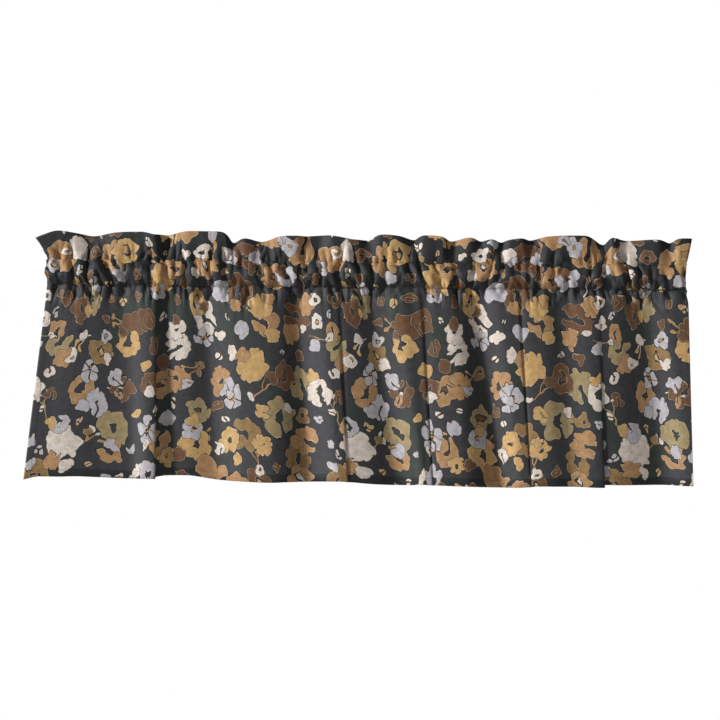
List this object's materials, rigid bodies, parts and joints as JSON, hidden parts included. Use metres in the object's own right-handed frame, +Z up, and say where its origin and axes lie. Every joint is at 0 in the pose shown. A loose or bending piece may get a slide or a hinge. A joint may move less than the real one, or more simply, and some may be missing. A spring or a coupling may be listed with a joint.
{
  "type": "window valance",
  "caption": "Gathered window valance of one printed cloth panel: ruffled heading, rod pocket open at both ends, and a softly folded skirt with a turned-up hem.",
  "frame": {"origin": "the heading's top edge at the middle of the width, at the depth of the rod's axis", "axes": "+X along the rod, towards the right as seen from the room; -Y towards the room; +Z up. The rod's axis runs along X at z = -0.064 m"},
  "size_m": [1.2394, 0.0369, 0.469],
  "materials": {
    "printed_cotton": "matte plain-weave cotton, dark slate with an all-over flower print in camel, gold, brown, cream and lavender grey"
  },
  "bodies": {
    "root": {"valance_panel": "printed_cotton"}
  },
  "joints": []
}
